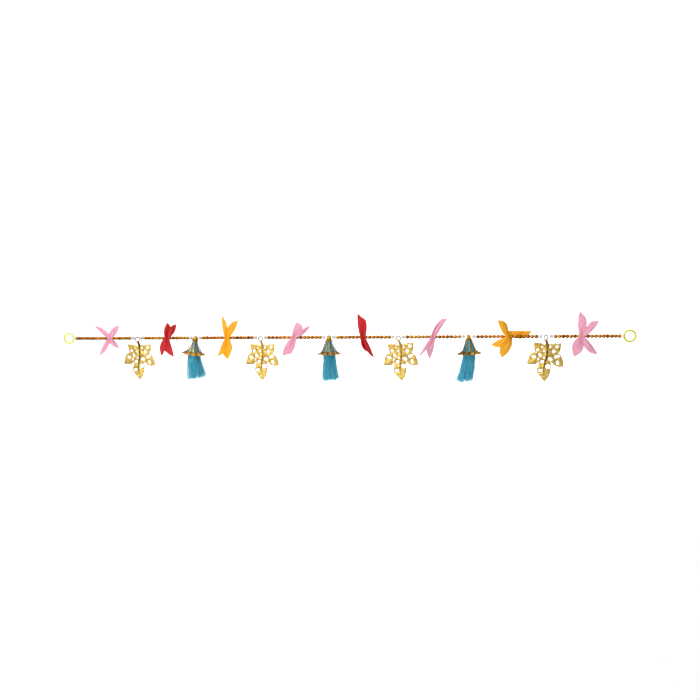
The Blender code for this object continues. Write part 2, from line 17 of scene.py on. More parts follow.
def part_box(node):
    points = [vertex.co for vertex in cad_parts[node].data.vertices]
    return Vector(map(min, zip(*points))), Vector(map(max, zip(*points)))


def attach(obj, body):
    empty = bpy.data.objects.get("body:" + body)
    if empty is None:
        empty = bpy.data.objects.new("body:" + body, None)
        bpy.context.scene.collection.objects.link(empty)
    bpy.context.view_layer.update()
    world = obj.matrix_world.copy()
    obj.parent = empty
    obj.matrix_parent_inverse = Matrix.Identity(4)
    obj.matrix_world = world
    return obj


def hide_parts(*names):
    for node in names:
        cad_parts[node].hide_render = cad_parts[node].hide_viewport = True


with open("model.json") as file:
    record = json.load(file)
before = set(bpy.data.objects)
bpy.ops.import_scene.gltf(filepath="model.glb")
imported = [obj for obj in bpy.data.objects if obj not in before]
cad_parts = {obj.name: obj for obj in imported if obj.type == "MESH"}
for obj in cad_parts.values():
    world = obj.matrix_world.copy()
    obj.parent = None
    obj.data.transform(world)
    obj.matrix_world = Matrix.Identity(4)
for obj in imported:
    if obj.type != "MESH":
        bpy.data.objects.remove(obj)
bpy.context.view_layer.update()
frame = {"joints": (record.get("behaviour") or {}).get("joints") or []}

bl_info = {
    "name": "Toran door hanging",
    "version": (1, 0, 0),
    "blender": (4, 5, 0),
    "location": "3D View > Sidebar > Toran",
    "description": "Builds the looks of a beaded door hanging round its packed model",
    "category": "Object",
}

MM = 0.001

# The strand, as the solids have it
RING_WIRE = 3.0
BEAD_LENGTH = 5.6
BEAD_DIAMETER = 6.2
CLEAR_DIAMETER = 6.0
KNOT_ROOM = 1.5
BEAD_HOLE = 1.4
BEAD_SHARE_OF_PITCH = 0.985
BEAD_ROUNDNESS = 0.95
THREAD_WIDTH = 0.7
BEADS_IN_RUNS = (11, 6, 7, 6, 7, 7, 7, 7, 7, 7, 7, 7, 8, 7, 7, 10)
LEAN = {
    "leaf_1": -2.0, "bell_1": 9.5, "leaf_2": -2.5, "bell_2": 0.0,
    "leaf_3": -5.5, "bell_3": -2.5, "leaf_4": 0.0,
}


# Materials

def linear(hex_colour):
    """A colour written as sRGB hex, as linear RGBA."""
    values = [int(hex_colour[place:place + 2], 16) / 255 for place in (1, 3, 5)]
    return (*[v / 12.92 if v <= 0.04045 else ((v + 0.055) / 1.055) ** 2.4 for v in values], 1.0)


def add_node(tree, kind, settings=None, links=None):
    """Adds a node; a setting goes to the input of that name, or else to the node's own property."""
    node = tree.nodes.new(kind)
    for name, value in (settings or {}).items():
        if name in node.inputs:
            node.inputs[name].default_value = value
        else:
            setattr(node, name, value)
    for name, source in (links or {}).items():
        tree.links.new(source, node.inputs[name])
    return node


def add_ramp(tree, source, stops):
    """A colour ramp through (place, hex colour) stops."""
    ramp = add_node(tree, "ShaderNodeValToRGB", links={"Fac": source})
    elements = ramp.color_ramp.elements
    while len(elements) < len(stops):
        elements.new(0.5)
    for element, (place, hex_colour) in zip(elements, stops):
        element.position = place
        element.color = linear(hex_colour)
    return ramp.outputs["Color"]


def new_material(name, settings):
    """A material with one Principled shader; returns it with its tree and shader."""
    material = bpy.data.materials.new(name)
    material.use_nodes = True
    tree = material.node_tree
    shader = tree.nodes["Principled BSDF"]
    for socket, value in settings.items():
        shader.inputs[socket].default_value = value
    return material, tree, shader


def object_place(tree, scale=(1.0, 1.0, 1.0)):
    """Object coordinates in millimetres, scaled along each axis."""
    coordinates = add_node(tree, "ShaderNodeTexCoord")
    per_mm = tuple(value / MM for value in scale)
    links = {"Vector": coordinates.outputs["Object"]}
    mapping = add_node(tree, "ShaderNodeMapping", {"Scale": per_mm}, links)
    return mapping.outputs["Vector"]


def add_noise(tree, place, cycles_per_mm, detail=3.0, roughness=0.55):
    settings = {"Scale": cycles_per_mm, "Detail": detail, "Roughness": roughness}
    return add_node(tree, "ShaderNodeTexNoise", settings, {"Vector": place}).outputs["Fac"]


def add_bump(tree, shader, height, depth_mm, strength=1.0):
    settings = {"Strength": strength, "Distance": depth_mm * MM}
    bump = add_node(tree, "ShaderNodeBump", settings, {"Height": height})
    tree.links.new(bump.outputs["Normal"], shader.inputs["Normal"])


def add_relief(tree, tone):
    """Adds the mesh's relief attribute to a tone, brighter where it is higher: painted highlight and shade on
    the bells, painted shade on the leaves' stems and eyes, brighter veins and darker rims on the blades, and
    each tassel strand's own tone.
    """
    relief = add_node(tree, "ShaderNodeAttribute", {"attribute_name": "relief"}).outputs["Fac"]
    total = add_node(tree, "ShaderNodeMath", {"operation": "ADD"})
    tree.links.new(tone, total.inputs[0])
    tree.links.new(relief, total.inputs[1])
    return total.outputs[0]


def add_range(tree, source, low, high):
    """Carries a value from 0 to 1 into the range from low to high."""
    settings = {"To Min": low, "To Max": high}
    return add_node(tree, "ShaderNodeMapRange", settings, {"Value": source}).outputs["Result"]


def plated_bead_material():
    """Gold-plated plastic: bright metal lacquer over moulding, a little different from bead to bead."""
    material, tree, shader = new_material("gold_plated_plastic", {"Metallic": 1.0})
    place = object_place(tree)
    tone = add_noise(tree, place, 0.16, detail=1.0)
    colour = add_ramp(tree, tone, [(0.30, "#9C520A"), (0.50, "#D28A24"), (0.72, "#EDAE40")])
    tree.links.new(colour, shader.inputs["Base Color"])
    smear = add_noise(tree, place, 0.9)
    tree.links.new(add_range(tree, smear, 0.10, 0.22), shader.inputs["Roughness"])
    add_bump(tree, shader, add_noise(tree, place, 1.4), 0.05, 0.5)
    return material


def glass_bead_material():
    """Clear moulded acrylic with faint swirls."""
    settings = {"Transmission Weight": 0.6, "Roughness": 0.08, "IOR": 1.49}
    material, tree, shader = new_material("clear_acrylic", settings)
    place = object_place(tree)
    swirl = add_noise(tree, place, 0.35)
    colour = add_ramp(tree, swirl, [(0.3, "#CFD0D6"), (0.7, "#ECECF0")])
    tree.links.new(colour, shader.inputs["Base Color"])
    add_bump(tree, shader, swirl, 0.08, 0.4)
    return material


def thread_material():
    """Twisted clear nylon thread."""
    settings = {"Roughness": 0.35, "Transmission Weight": 0.25, "IOR": 1.53}
    material, tree, shader = new_material("nylon_thread", settings)
    place = object_place(tree, (1.0, 1.0, 0.35))
    twist = add_noise(tree, place, 2.2)
    colour = add_ramp(tree, twist, [(0.3, "#D9D9D2"), (0.7, "#F6F6F2")])
    tree.links.new(colour, shader.inputs["Base Color"])
    add_bump(tree, shader, twist, 0.05, 0.6)
    return material


def ring_material(name, dark, light):
    """Moulded lime plastic, slightly see-through, with faint flow marks."""
    settings = {"Subsurface Weight": 0.25, "Subsurface Scale": 0.002, "Transmission Weight": 0.10}
    material, tree, shader = new_material(name, settings)
    shader.inputs["Subsurface Radius"].default_value = (1.0, 1.0, 0.2)
    place = object_place(tree)
    flow = add_noise(tree, place, 0.22)
    tree.links.new(add_ramp(tree, flow, [(0.3, dark), (0.7, light)]), shader.inputs["Base Color"])
    tree.links.new(add_range(tree, flow, 0.18, 0.34), shader.inputs["Roughness"])
    add_bump(tree, shader, add_noise(tree, place, 0.8), 0.06, 0.4)
    return material


def leaf_metal_material():
    """Cast and gold-washed metal: mottled and grainy, brighter along its veins and darker towards its rims,
    with painted shade on its stem and eye.
    """
    material, tree, shader = new_material("mottled_gold_casting", {"Metallic": 1.0})
    place = object_place(tree)
    mottle = add_noise(tree, place, 0.33, detail=5.0, roughness=0.65)
    stops = [(0.22, "#6E4310"), (0.42, "#CFA03C"), (0.58, "#E8C562"), (0.80, "#FCEBAE")]
    tree.links.new(add_ramp(tree, add_relief(tree, mottle), stops), shader.inputs["Base Color"])
    tree.links.new(add_range(tree, mottle, 0.22, 0.46), shader.inputs["Roughness"])
    add_bump(tree, shader, add_noise(tree, place, 0.9, detail=6.0, roughness=0.7), 0.35, 0.9)
    return material


def bell_metal_material():
    """Cast gold-washed metal, smoother than the leaves, with painted highlight along its ribs and painted
    shade in its grooves and slots.
    """
    material, tree, shader = new_material("gold_washed_casting", {"Metallic": 1.0})
    place = object_place(tree)
    tone = add_noise(tree, place, 0.25, detail=4.0)
    stops = [(0.12, "#4A2C08"), (0.34, "#A8701C"), (0.54, "#DBA743"), (0.76, "#F5D27C")]
    tree.links.new(add_ramp(tree, add_relief(tree, tone), stops), shader.inputs["Base Color"])
    tree.links.new(add_range(tree, tone, 0.24, 0.42), shader.inputs["Roughness"])
    add_bump(tree, shader, add_noise(tree, place, 1.1, detail=5.0), 0.15, 0.6)
    return material


def yarn_material():
    """Silky turquoise rayon yarn: long streaks, each strand a little lighter or darker."""
    settings = {"Roughness": 0.48, "Sheen Weight": 0.25, "Sheen Roughness": 0.4}
    material, tree, shader = new_material("turquoise_rayon_yarn", settings)
    shader.inputs["Sheen Tint"].default_value = linear("#BFEFF7")
    place = object_place(tree, (1.0, 1.0, 0.05))
    streak = add_noise(tree, place, 0.9, detail=2.0)
    stops = [(0.24, "#087C9E"), (0.44, "#1CACD0"), (0.60, "#46CAE4"), (0.80, "#A6E8F3")]
    tree.links.new(add_ramp(tree, add_relief(tree, streak), stops), shader.inputs["Base Color"])
    add_bump(tree, shader, add_noise(tree, object_place(tree), 3.0), 0.04, 0.5)
    return material


def ribbon_material(name, stops, settings):
    """Woven ribbon: fine ribs across its width, and cloth noise; the map UV is in millimetres."""
    material, tree, shader = new_material(name, settings)
    coordinates = add_node(tree, "ShaderNodeUVMap", {"uv_map": "cloth"})
    settings = {"wave_type": "BANDS", "bands_direction": "Y", "Scale": 0.7, "Distortion": 0.4}
    ribs = add_node(tree, "ShaderNodeTexWave", settings, {"Vector": coordinates.outputs["UV"]})
    stretched = add_node(tree, "ShaderNodeMapping", {"Scale": (1.0, 0.12, 1.0)},
                         {"Vector": coordinates.outputs["UV"]})
    streak = add_noise(tree, stretched.outputs["Vector"], 0.6, detail=4.0)
    tree.links.new(add_ramp(tree, streak, stops), shader.inputs["Base Color"])
    add_bump(tree, shader, ribs.outputs["Fac"], 0.03, 0.5)
    return material


def stage_material():
    """Matt white paper."""
    material, tree, shader = new_material("white_paper", {"Roughness": 0.9})
    grain = add_noise(tree, object_place(tree), 0.02)
    tree.links.new(add_ramp(tree, grain, [(0.3, "#FCFCFC"), (0.7, "#FFFFFF")]), shader.inputs["Base Color"])
    return material


# Meshes

def add_piece(name, mesh, materials, body, nodes, place=(0.0, 0.0, 0.0), lean=0.0):
    """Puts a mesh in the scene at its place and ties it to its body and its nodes."""
    piece = bpy.data.objects.new(name, mesh)
    bpy.context.scene.collection.objects.link(piece)
    piece.location = place
    piece.rotation_euler.y = math.radians(lean)
    if not mesh.materials:
        for material in materials:
            mesh.materials.append(material)
    bpy.context.view_layer.update()
    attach(piece, body)
    if nodes:
        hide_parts(*nodes)
    return piece


def finish_mesh(name, bm):
    mesh = bpy.data.meshes.new(name)
    bmesh.ops.recalc_face_normals(bm, faces=bm.faces)
    bm.to_mesh(mesh)
    bm.free()
    mesh.polygons.foreach_set("use_smooth", [True] * len(mesh.polygons))
    return mesh


def add_lathe(bm, profile, sides, matrix, closed=False):
    """Turns (radius, height) points about Z, then places them; a radius of 0 gives a pole."""
    rings = []
    for radius, height in profile:
        count = sides if radius > 0 else 1
        ring = []
        for side in range(count):
            angle = 2 * math.pi * side / sides
            point = Vector((radius * math.cos(angle), radius * math.sin(angle), height)) * MM
            ring.append(bm.verts.new(matrix @ point))
        rings.append(ring)
    pairs = list(zip(rings, rings[1:]))
    if closed:
        pairs.append((rings[-1], rings[0]))
    for upper, lower in pairs:
        join_rings(bm, upper, lower, sides, 0)


def join_rings(bm, upper, lower, sides, slot):
    for side in range(sides):
        after = (side + 1) % sides
        corners = [upper[side % len(upper)], upper[after % len(upper)],
                   lower[after % len(lower)], lower[side % len(lower)]]
        corners = list(dict.fromkeys(corners))
        bm.faces.new(corners).material_index = slot


def add_torus(bm, radius, wire, around, across, matrix):
    """A torus about Z, placed by the matrix."""
    profile = []
    for index in range(across):
        angle = 2 * math.pi * index / across
        profile.append((radius + wire * math.cos(angle), wire * math.sin(angle)))
    add_lathe(bm, profile, around, matrix, closed=True)


def add_tube(bm, points, radii, sides, slot=0):
    """A tube with closed ends along points in metres; radii are in metres too."""
    rings = []
    across = Vector((0.0, 1.0, 0.0))
    for index, point in enumerate(points):
        ahead = points[min(index + 1, len(points) - 1)] - points[max(index - 1, 0)]
        ahead.normalize()
        across = (across - ahead * across.dot(ahead)).normalized()
        beside = ahead.cross(across)
        ring = []
        for side in range(sides):
            angle = 2 * math.pi * side / sides
            offset = across * math.cos(angle) + beside * math.sin(angle)
            ring.append(bm.verts.new(point + offset * radii[index]))
        rings.append(ring)
    for upper, lower in zip(rings, rings[1:]):
        join_rings(bm, upper, lower, sides, slot)
    bm.faces.new(rings[0]).material_index = slot
    bm.faces.new(rings[-1]).material_index = slot


def smooth_line(points, steps):
    """Points on a Catmull-Rom curve through the given tuples."""
    rows = np.array([points[0], *points, points[-1]], float)
    line = []
    for index in range(1, len(rows) - 2):
        before, start, end, after = rows[index - 1:index + 3]
        for step in range(steps):
            t = step / steps
            line.append(0.5 * (2 * start + (end - before) * t
                               + (2 * before - 5 * start + 4 * end - after) * t ** 2
                               + (3 * start - before - 3 * end + after) * t ** 3))
    line.append(rows[-1])
    return line


TO_X = Matrix.Rotation(math.radians(90.0), 4, "Y")
UPRIGHT = Matrix.Rotation(math.radians(90.0), 4, "X")


# End rings, beads and thread

def bead_profile(diameter, length, arc_points):
    """A plump bead with a hole: its outside from end to end, then its bore."""
    hole = BEAD_HOLE / 2
    profile = [(hole, -length / 2 * 0.9)]
    for index in range(arc_points):
        angle = math.pi * (index + 1) / (arc_points + 1)
        bulge = math.sin(angle) ** BEAD_ROUNDNESS
        profile.append((hole + (diameter / 2 - hole) * bulge, -length / 2 * math.cos(angle)))
    profile.append((hole, length / 2 * 0.9))
    return profile


def run_places(number):
    """Centres of the gold beads in one run, worked out from the solids' boxes."""
    left = number if number % 2 else number - 1
    counts = BEADS_IN_RUNS[left - 1:left + 1]
    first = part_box(f"gold_run_{left:02d}")[0][0] / MM + BEAD_LENGTH / 2
    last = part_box(f"gold_run_{left + 1:02d}")[1][0] / MM - BEAD_LENGTH / 2
    pitch = (last - first - KNOT_ROOM) / (sum(counts) - 1)
    if number % 2:
        return [first + index * pitch for index in range(counts[0])]
    return [last - index * pitch for index in reversed(range(counts[1]))]


def knot_place(bow_number):
    """Where a bow's knot is along the strand, in millimetres."""
    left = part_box(f"gold_run_{2 * bow_number - 1:02d}")[1][0]
    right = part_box(f"gold_run_{2 * bow_number:02d}")[0][0]
    return (left + right) / 2 / MM


def gold_run_mesh(number, sides):
    """Plump beads, each turned and sized a little differently, on their thread."""
    picks = random.Random(number)
    places = run_places(number)
    profile = bead_profile(BEAD_DIAMETER, (places[1] - places[0]) * BEAD_SHARE_OF_PITCH, 12)
    bm = bmesh.new()
    for x in places:
        size = picks.uniform(0.93, 1.02)
        tip = Matrix.Rotation(math.radians(picks.uniform(-5, 5)), 4, "Z")
        tip @= Matrix.Rotation(math.radians(picks.uniform(-5, 5)), 4, "Y")
        place = Matrix.Translation((x * MM, 0.0, 0.0)) @ tip @ TO_X @ Matrix.Diagonal((size, size, 1.0, 1.0))
        add_lathe(bm, profile, sides, place, closed=True)
    low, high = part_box(f"gold_run_{number:02d}")
    end_gap = 0.0003
    ends = [low[0] - end_gap, high[0] + end_gap]
    points = [Vector((x, 0.0, 0.0)) for x in ends]
    add_tube(bm, points, [THREAD_WIDTH / 2 * MM] * 2, 8, slot=1)
    return finish_mesh(f"gold_beads_{number:02d}", bm)


def clear_bead_mesh(sides):
    bm = bmesh.new()
    add_lathe(bm, bead_profile(CLEAR_DIAMETER, BEAD_LENGTH, 14), sides, TO_X, closed=True)
    return finish_mesh("clear_bead", bm)


def bare_thread_mesh(half_length):
    """The thread between two gold runs: through both clear beads and the pendant's loop."""
    bm = bmesh.new()
    points = [Vector((side * half_length * MM, 0.0, 0.0)) for side in (-1, -0.4, 0.4, 1)]
    add_tube(bm, points, [THREAD_WIDTH / 2 * MM] * len(points), 10)
    return finish_mesh("bare_thread", bm)


def end_ring_mesh(name):
    """A moulded ring, a torus sized from the part's box."""
    low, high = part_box(name)
    radius = (high[0] - low[0]) / 2 / MM - RING_WIRE / 2
    bm = bmesh.new()
    add_torus(bm, radius, RING_WIRE / 2, 96, 24, UPRIGHT)
    return finish_mesh(f"plastic_{name}", bm)


def tie_mesh(name, side):
    """Two turns of thread round the ring's wire, a small knot, and the end that runs into the beads."""
    low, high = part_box(name)
    centre = Vector(((low[0] + high[0]) / 2, 0.0, 0.0))
    bm = bmesh.new()
    wire = THREAD_WIDTH / 2
    turn_radius = RING_WIRE / 2 + wire + 0.1
    for offset, tilt in ((-0.5, 9), (0.5, -7)):
        place = Matrix.Translation(centre + Vector((0.0, 0.0, offset * MM)))
        place @= Matrix.Rotation(math.radians(tilt), 4, "Y")
        add_torus(bm, turn_radius, wire, 28, 8, place)
    knot = centre - Vector((side * (turn_radius + 0.8) * MM, 0.0, 0.0))
    for tilt in (0, 60, 120):
        place = Matrix.Translation(knot) @ Matrix.Rotation(math.radians(tilt), 4, "X") @ TO_X
        add_torus(bm, 0.55, wire, 16, 8, place @ Matrix.Rotation(math.radians(35), 4, "Y"))
    bead = knot - Vector((side * 1.6 * MM, 0.0, 0.0))
    inner = centre - Vector((side * turn_radius * MM, 0.0, 0.0))
    add_tube(bm, [inner, knot, bead], [wire * MM] * 3, 8)
    return finish_mesh(f"thread_{name}", bm)


# Leaves

LEAF_LOOP_RADIUS = 3.7
LEAF_LOOP_WIRE = 1.8
LEAF_LOOP_DROP = 1.9
LEAF_LOOP_TURN = 35.0
LEAF_BLADE = 1.0
LEAF_OUTLINE = [
    (1.0, -11.6), (-0.8, -11.8), (-2.9, -12.4), (-4.4, -11.0), (-5.9, -9.9), (-8.4, -10.2), (-10.8, -9.6),
    (-13.4, -9.9), (-15.7, -9.4), (-17.4, -9.0), (-17.2, -11.2), (-18.1, -13.7), (-16.9, -16.2),
    (-17.2, -18.7), (-15.7, -22.5), (-18.7, -24.3), (-20.2, -24.4), (-22.3, -26.3), (-23.2, -28.4),
    (-24.8, -30.1), (-24.6, -32.4), (-26.1, -34.5), (-26.0, -37.0), (-27.6, -38.6), (-28.4, -40.7),
    (-25.4, -42.4), (-23.4, -41.7), (-21.7, -42.4), (-20.0, -42.2), (-18.1, -43.3), (-16.4, -42.2),
    (-14.4, -42.4), (-12.0, -39.8), (-9.3, -39.2), (-11.4, -43.9), (-11.6, -46.4), (-13.2, -48.4),
    (-12.6, -51.5), (-13.3, -54.7), (-10.8, -56.6), (-9.6, -59.7), (-7.4, -61.3), (-6.5, -63.5),
    (-4.1, -66.6), (-1.4, -68.5), (0.1, -66.6), (1.3, -64.7), (3.1, -63.2), (4.7, -60.3), (5.0, -57.8),
    (6.8, -55.3), (6.4, -52.6), (7.1, -50.2), (8.6, -47.1), (7.6, -44.8), (8.0, -42.7), (6.8, -38.3),
    (9.2, -40.8), (11.6, -43.3), (14.3, -45.2), (17.6, -45.8), (19.7, -47.1), (22.4, -46.1), (24.4, -46.6),
    (26.7, -45.5), (25.8, -42.4), (26.1, -38.9), (24.6, -36.0), (24.3, -32.6), (22.6, -30.6),
    (21.8, -28.2), (17.6, -25.8), (19.7, -24.4), (21.2, -22.5), (20.9, -20.0), (22.4, -17.6),
    (21.9, -15.6), (22.7, -13.7), (21.5, -9.9), (20.0, -10.5), (17.6, -11.8), (14.6, -10.2),
    (11.6, -10.8), (8.6, -11.5), (6.4, -11.3), (4.4, -12.1),
]
Hole = namedtuple("Hole", "x z width height tilt")
LEAF_HOLES = [
    Hole(3.2, -46.0, 7.6, 7.0, 30), Hole(-8.2, -51.8, 6.4, 4.6, 0), Hole(16.1, -30.8, 8.4, 4.4, 20),
    Hole(17.0, -40.0, 4.2, 7.2, 0), Hole(6.6, -34.8, 6.8, 5.2, -20), Hole(-5.4, -38.4, 5.6, 4.4, 40),
    Hole(-8.7, -27.9, 4.4, 5.6, 15), Hole(-17.8, -30.6, 6.4, 4.4, -20), Hole(11.5, -22.8, 5.0, 5.2, 0),
    Hole(-12.0, -20.2, 4.6, 4.2, 0), Hole(16.2, -15.6, 4.4, 4.8, 0),
    Hole(-11.1, -34.5, 2.4, 3.5, 0), Hole(6.5, -15.9, 2.4, 4.4, 0), Hole(-2.6, -21.8, 2.8, 3.8, 0),
    Hole(-2.6, -32.2, 2.4, 3.1, 0), Hole(-5.8, -15.6, 2.1, 2.8, 0),
]
RibPoint = namedtuple("RibPoint", "x z radius")
LEAF_RIB = [
    RibPoint(0.0, -5.6, 1.8), RibPoint(1.3, -9.0, 2.0), RibPoint(2.4, -13.0, 1.9), RibPoint(2.2, -21.0, 1.5),
    RibPoint(1.6, -31.0, 1.2), RibPoint(-1.4, -41.0, 1.0), RibPoint(-2.8, -52.0, 0.9),
    RibPoint(-1.7, -64.5, 0.6),
]
LEAF_VEINS = [
    [(2.4, -16.0), (-5.5, -12.6), (-15.8, -10.8)],
    [(2.3, -20.0), (-8.0, -23.9), (-14.0, -25.4), (-16.6, -35.8), (-25.8, -39.8)],
    [(1.8, -28.0), (-7.5, -33.2), (-13.5, -38.8)],
    [(2.4, -16.0), (9.0, -13.6), (20.4, -11.6)],
    [(2.3, -20.0), (8.0, -28.3), (13.5, -34.6), (21.5, -35.0), (25.2, -43.8)],
    [(2.0, -26.0), (12.4, -27.6), (19.8, -27.4)],
    [(-1.8, -44.0), (-7.0, -47.4), (-11.8, -49.0)],
    [(-2.8, -50.0), (2.4, -52.6), (5.4, -55.0)],
    [(-2.6, -55.0), (-7.0, -57.2), (-9.2, -59.2)],
]
# Painted shade along each leaf's stem: how much darker its colour is made.
RIB_PAINTED_SHADE = {"leaf_1": -0.30, "leaf_2": -0.08, "leaf_3": -0.06, "leaf_4": -0.22}
# Painted shade on each leaf's eye, darkening its colour.
LOOP_PAINTED_SHADE = -0.22
VEIN_HEIGHT = 0.42
VEIN_WIDTH = 0.75
RIM_DROP = 0.34
RIM_WIDTH = 0.55


def hole_outline(hole, index):
    """An uneven oval, as a casting leaves it."""
    tilt = math.radians(hole.tilt)
    points = []
    sides = 16
    for side in range(sides):
        angle = 2 * math.pi * side / sides
        wobble = 1 + 0.14 * noise.noise((math.cos(angle) * 1.2, math.sin(angle) * 1.2, index * 3.7))
        across = hole.width / 2 * wobble * math.cos(angle)
        up = hole.height / 2 * wobble * math.sin(angle)
        points.append((hole.x + across * math.cos(tilt) - up * math.sin(tilt),
                       hole.z + across * math.sin(tilt) + up * math.cos(tilt)))
    return points


def split_ring(points, longest):
    """The closed line with extra points wherever two are further apart than the longest step."""
    ring = []
    for start, end in zip(points, points[1:] + points[:1]):
        steps = max(1, math.ceil(math.dist(start, end) / longest))
        for step in range(steps):
            t = step / steps
            ring.append((start[0] + (end[0] - start[0]) * t, start[1] + (end[1] - start[1]) * t))
    return ring


def inside_rings(points, rings):
    """For each point, whether it lies in the blade: inside the outline and outside every hole."""
    inside = np.zeros(len(points), bool)
    for ring in rings:
        ring = np.array(ring)
        for start, end in zip(ring, np.roll(ring, -1, axis=0)):
            crosses = (start[1] > points[:, 1]) != (end[1] > points[:, 1])
            rise = end[1] - start[1] if end[1] != start[1] else 1.0
            at = start[0] + (points[:, 1] - start[1]) * (end[0] - start[0]) / rise
            inside ^= crosses & (points[:, 0] < at)
    return inside


def distance_to_lines(points, lines, closed):
    """The shortest distance from each point to any of the lines."""
    nearest = np.full(len(points), 1e9)
    for line in lines:
        line = np.array(line, float)
        ends = np.roll(line, -1, axis=0) if closed else line[1:]
        starts = line if closed else line[:-1]
        for start, end in zip(starts, ends):
            along = end - start
            share = np.clip((points - start) @ along / max(along @ along, 1e-9), 0.0, 1.0)
            nearest = np.minimum(nearest, np.linalg.norm(points - start - share[:, None] * along, axis=1))
    return nearest


def leaf_points(rings, spacing):
    """The blade's rings and an even field of points between them, in millimetres."""
    rows = []
    for row, z in enumerate(np.arange(-68.0, -9.0, spacing * 0.87)):
        shift = spacing / 2 if row % 2 else 0.0
        rows.extend((x + shift, z) for x in np.arange(-28.0, 27.0, spacing))
    field = np.array(rows)
    keep = inside_rings(field, rings) & (distance_to_lines(field, rings, True) > spacing * 0.45)
    return field[keep]


def add_leaf_blade(bm, spacing):
    """A cast blade with veins, a grainy face, a rounded rim and a slight curl."""
    rings = [split_ring(LEAF_OUTLINE, spacing * 1.3)]
    rings += [split_ring(hole_outline(hole, index), spacing * 1.3) for index, hole in enumerate(LEAF_HOLES)]
    ring_points = [point for ring in rings for point in ring]
    edges = []
    for ring in rings:
        first = len(edges)
        edges.extend((first + index, first + (index + 1) % len(ring)) for index in range(len(ring)))
    field = leaf_points(rings, spacing)
    flat = [Vector(point) for point in ring_points] + [Vector(point) for point in field]
    result = geometry.delaunay_2d_cdt(flat, edges, [], 0, 1e-6)
    points = np.array([tuple(point) for point in result[0]])
    faces = np.array(result[2])
    faces = faces[inside_rings(points[faces].mean(axis=1), rings)]
    vein = distance_to_lines(points, [smooth_line(vein, 4) for vein in LEAF_VEINS], False)
    rim = distance_to_lines(points, rings, True)
    ridge = VEIN_HEIGHT * np.exp(-(vein / VEIN_WIDTH) ** 2)
    drop = RIM_DROP * np.exp(-(rim / RIM_WIDTH) ** 2)
    grain = np.array([0.16 * noise.noise((x * 0.9, z * 0.9, 2.0)) + 0.2 * noise.noise((x * 0.3, z * 0.3, 5.0))
                      for x, z in points])
    curl = 1.0 * (points[:, 0] / 26.0) ** 2 - 0.5 + 0.5 * np.sin(points[:, 1] / 9.0)
    relief = ridge - drop + grain
    relief_layer = bm.verts.layers.float.new("relief")
    sheets = []
    for side, share in ((-1, 1.0), (1, 0.55)):
        sheet = []
        for (x, z), height, shift, vein_height in zip(points, relief, curl, ridge):
            vert = bm.verts.new(Vector((x, shift * 0.6 + side * (LEAF_BLADE / 2 + height * share), z)) * MM)
            vert[relief_layer] = (height - 0.6 * vein_height) * 0.6 + 0.04
            sheet.append(vert)
        sheets.append(sheet)
    front, back = sheets
    for a, b, c in faces:
        bm.faces.new((front[a], front[b], front[c]))
        bm.faces.new((back[a], back[c], back[b]))
    open_edges = [edge for edge in bm.edges if edge.is_boundary]
    twin = dict(zip(front, back))
    for edge in open_edges:
        if edge.verts[0] in twin:
            start, end = edge.verts
            bm.faces.new((start, end, twin[end], twin[start]))
    for vert in sheets[0] + sheets[1]:
        if not vert.link_faces:
            bm.verts.remove(vert)


def leaf_mesh(spacing, stem_painted_shade):
    """A leaf with its stem and eye; the tone given is painted shade that darkens the stem."""
    bm = bmesh.new()
    add_leaf_blade(bm, spacing)
    rows = smooth_line([(row.x, row.z, row.radius) for row in LEAF_RIB], 5)
    points = [Vector((x, -0.3, z)) * MM for x, z, radius in rows]
    first = len(bm.verts)
    add_tube(bm, points, [radius * MM for x, z, radius in rows], 14)
    bm.verts.ensure_lookup_table()
    relief = bm.verts.layers.float["relief"]
    # Painted shade on the stem: its colour is darkened.
    for vert in bm.verts[first:]:
        vert[relief] = stem_painted_shade
    first = len(bm.verts)
    place = Matrix.Translation((0.0, 0.0, -LEAF_LOOP_DROP * MM))
    place @= Matrix.Rotation(math.radians(LEAF_LOOP_TURN), 4, "Z") @ UPRIGHT
    add_torus(bm, LEAF_LOOP_RADIUS, LEAF_LOOP_WIRE / 2, 48, 14, place)
    bm.verts.ensure_lookup_table()
    # Painted shade on the eye: its colour is darkened.
    for vert in bm.verts[first:]:
        vert[relief] = LOOP_PAINTED_SHADE
    return finish_mesh("gold_leaf", bm)


# Bells

BELL_SECTORS = 10
RIB_COLUMNS = 6
SLOT_COLUMNS = 6
SLOT_SHARE = 0.56
SLOT_TOP = -4.6
SLOT_FOOT = -22.6
BELL_WALL = 0.8
RIB_BULGE = 0.45
BELL_LOOP_DROP = 1.3
BELL_SIDE = [
    (0.6, -2.2), (2.8, -3.0), (5.0, -4.4), (5.6, -5.9), (6.6, -9.0), (8.9, -14.4), (11.0, -19.2),
    (12.3, -22.0),
    (14.6, -24.2), (17.4, -25.4), (18.9, -26.0),
]


def slot_share(z):
    """How much of a sector is slot at this height; outside the slots it is a narrow groove."""
    if not SLOT_FOOT <= z <= SLOT_TOP:
        return 0.12
    down = (SLOT_TOP - z) / (SLOT_TOP - SLOT_FOOT)
    ends = min(1.0, down / 0.16, (1.0 - down) / 0.06)
    return 0.12 + (SLOT_SHARE - 0.12) * math.sqrt(max(ends, 0.0))


